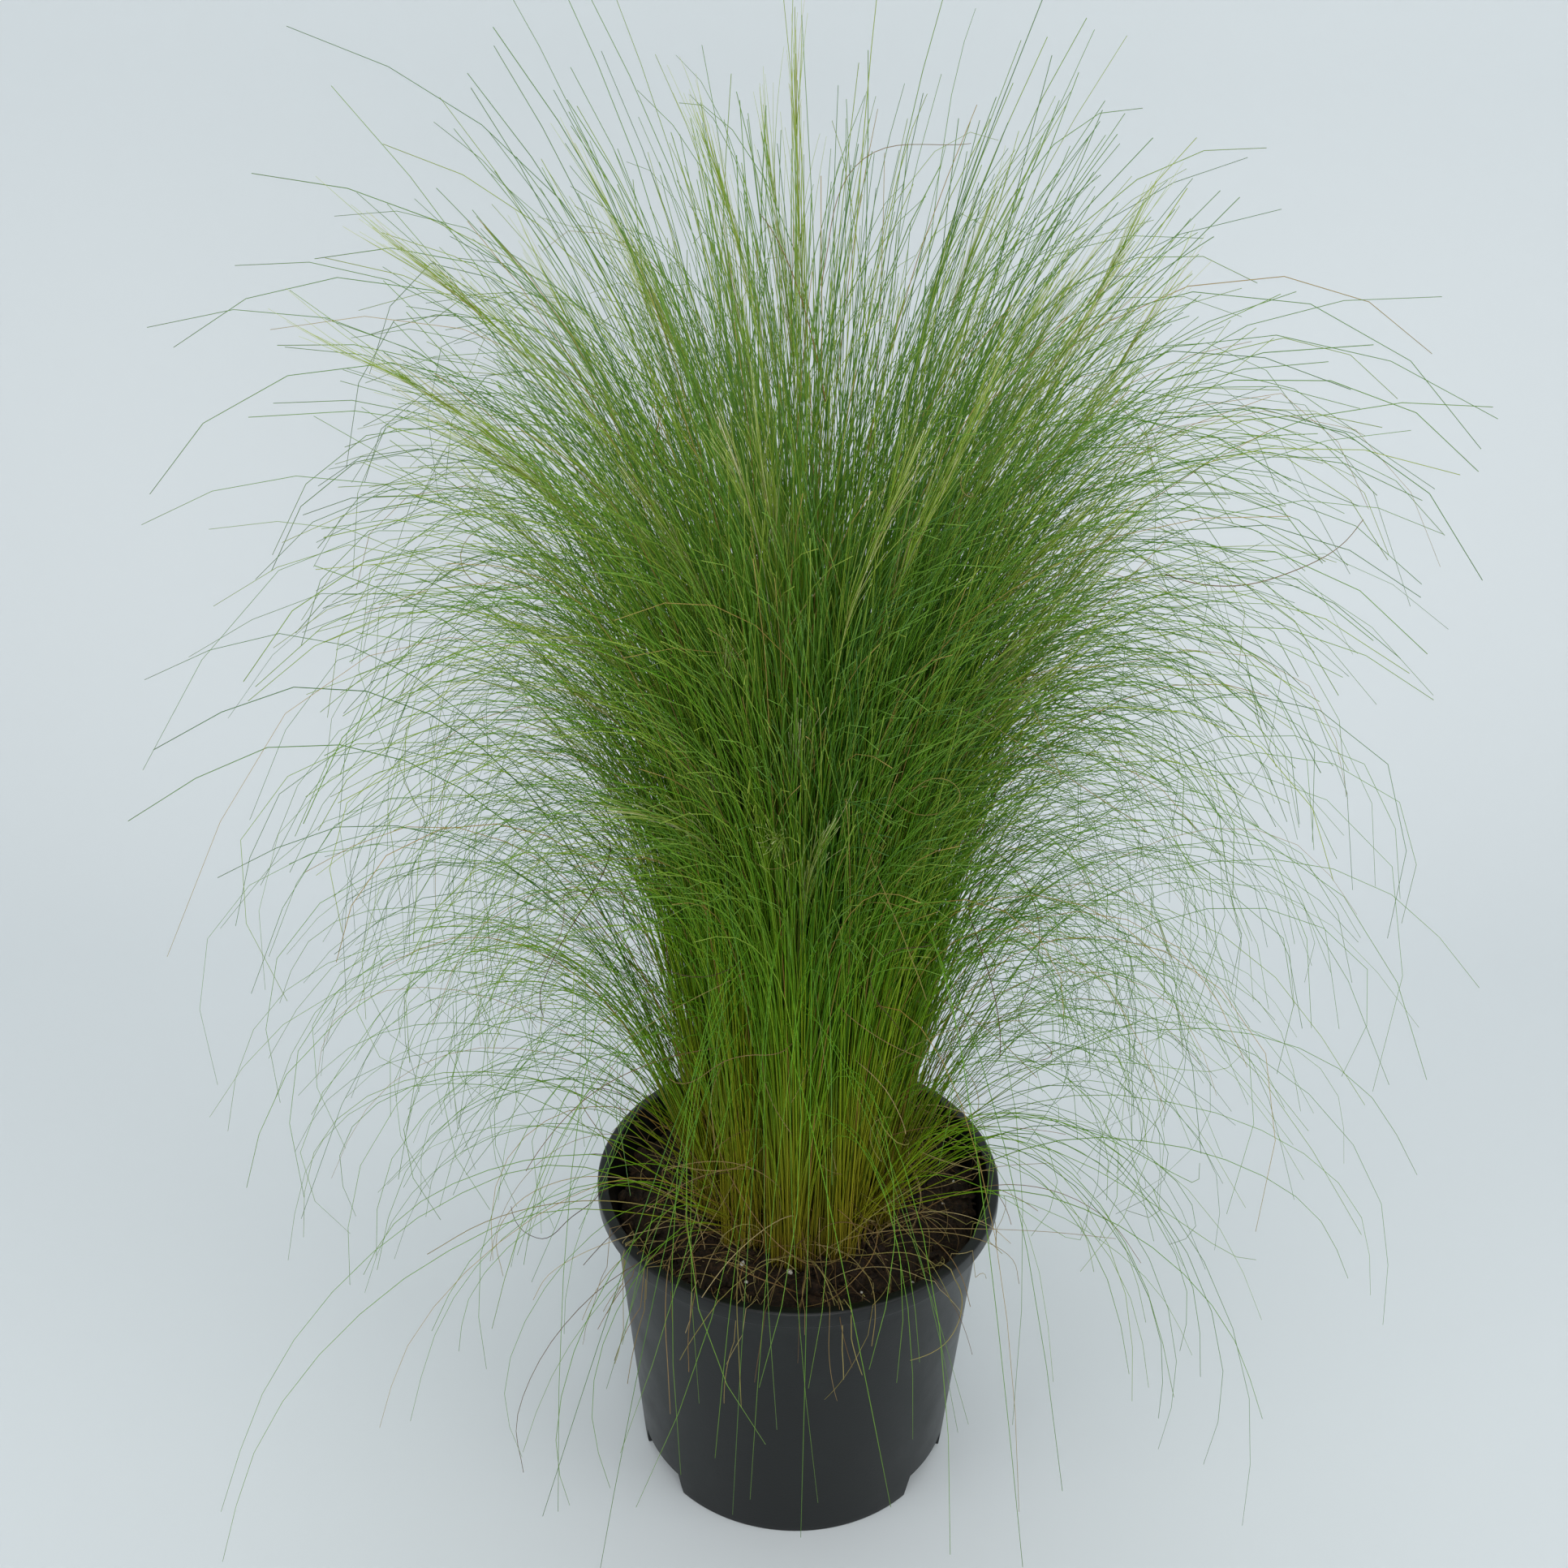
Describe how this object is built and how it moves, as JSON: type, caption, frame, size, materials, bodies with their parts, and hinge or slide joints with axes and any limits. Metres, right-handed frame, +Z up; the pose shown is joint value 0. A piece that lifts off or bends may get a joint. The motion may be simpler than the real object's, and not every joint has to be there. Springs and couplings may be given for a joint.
{
  "type": "potted ornamental grass",
  "caption": "Clump of hair-fine arching grass leaves with feathery flower heads, growing in a plain dark tapered nursery pot filled with peat.",
  "frame": {"origin": "on the pot's axis at the level of its feet, which is the middle of the whole plant's footprint", "axes": "+Z up along the pot's axis, -Y towards the front"},
  "size_m": [0.5802, 0.5794, 0.6817],
  "materials": {
    "moulded_black_plastic": "satin, moulded",
    "moist_peat": "rough, crumbly",
    "living_leaf": "satin, fibrous",
    "silky_flower_head": "silky",
    "dry_leaf": "dry, matte"
  },
  "bodies": {
    "root": {"pot": "moulded_black_plastic", "growing_medium": "moist_peat", "tuft_01": "living_leaf", "tuft_02": "living_leaf", "tuft_03": "living_leaf", "tuft_04": "living_leaf", "tuft_05": "living_leaf", "tuft_06": "living_leaf", "tuft_07": "living_leaf", "tuft_08": "living_leaf", "tuft_09": "living_leaf", "tuft_10": "living_leaf", "tuft_11": "living_leaf", "tuft_12": "living_leaf", "tuft_13": "living_leaf", "tuft_14": "living_leaf", "tuft_15": "living_leaf", "tuft_16": "living_leaf", "panicle_01": "silky_flower_head", "panicle_02": "silky_flower_head", "panicle_03": "silky_flower_head", "panicle_04": "silky_flower_head", "panicle_05": "silky_flower_head", "panicle_06": "silky_flower_head", "panicle_07": "silky_flower_head", "panicle_08": "silky_flower_head", "panicle_09": "silky_flower_head", "panicle_10": "silky_flower_head", "panicle_11": "silky_flower_head", "panicle_12": "silky_flower_head", "panicle_13": "silky_flower_head", "dead_leaves_01": "dry_leaf", "dead_leaves_02": "dry_leaf", "dead_leaves_03": "dry_leaf", "dead_leaves_04": "dry_leaf", "dead_leaves_05": "dry_leaf", "dead_leaves_06": "dry_leaf"}
  },
  "joints": []
}
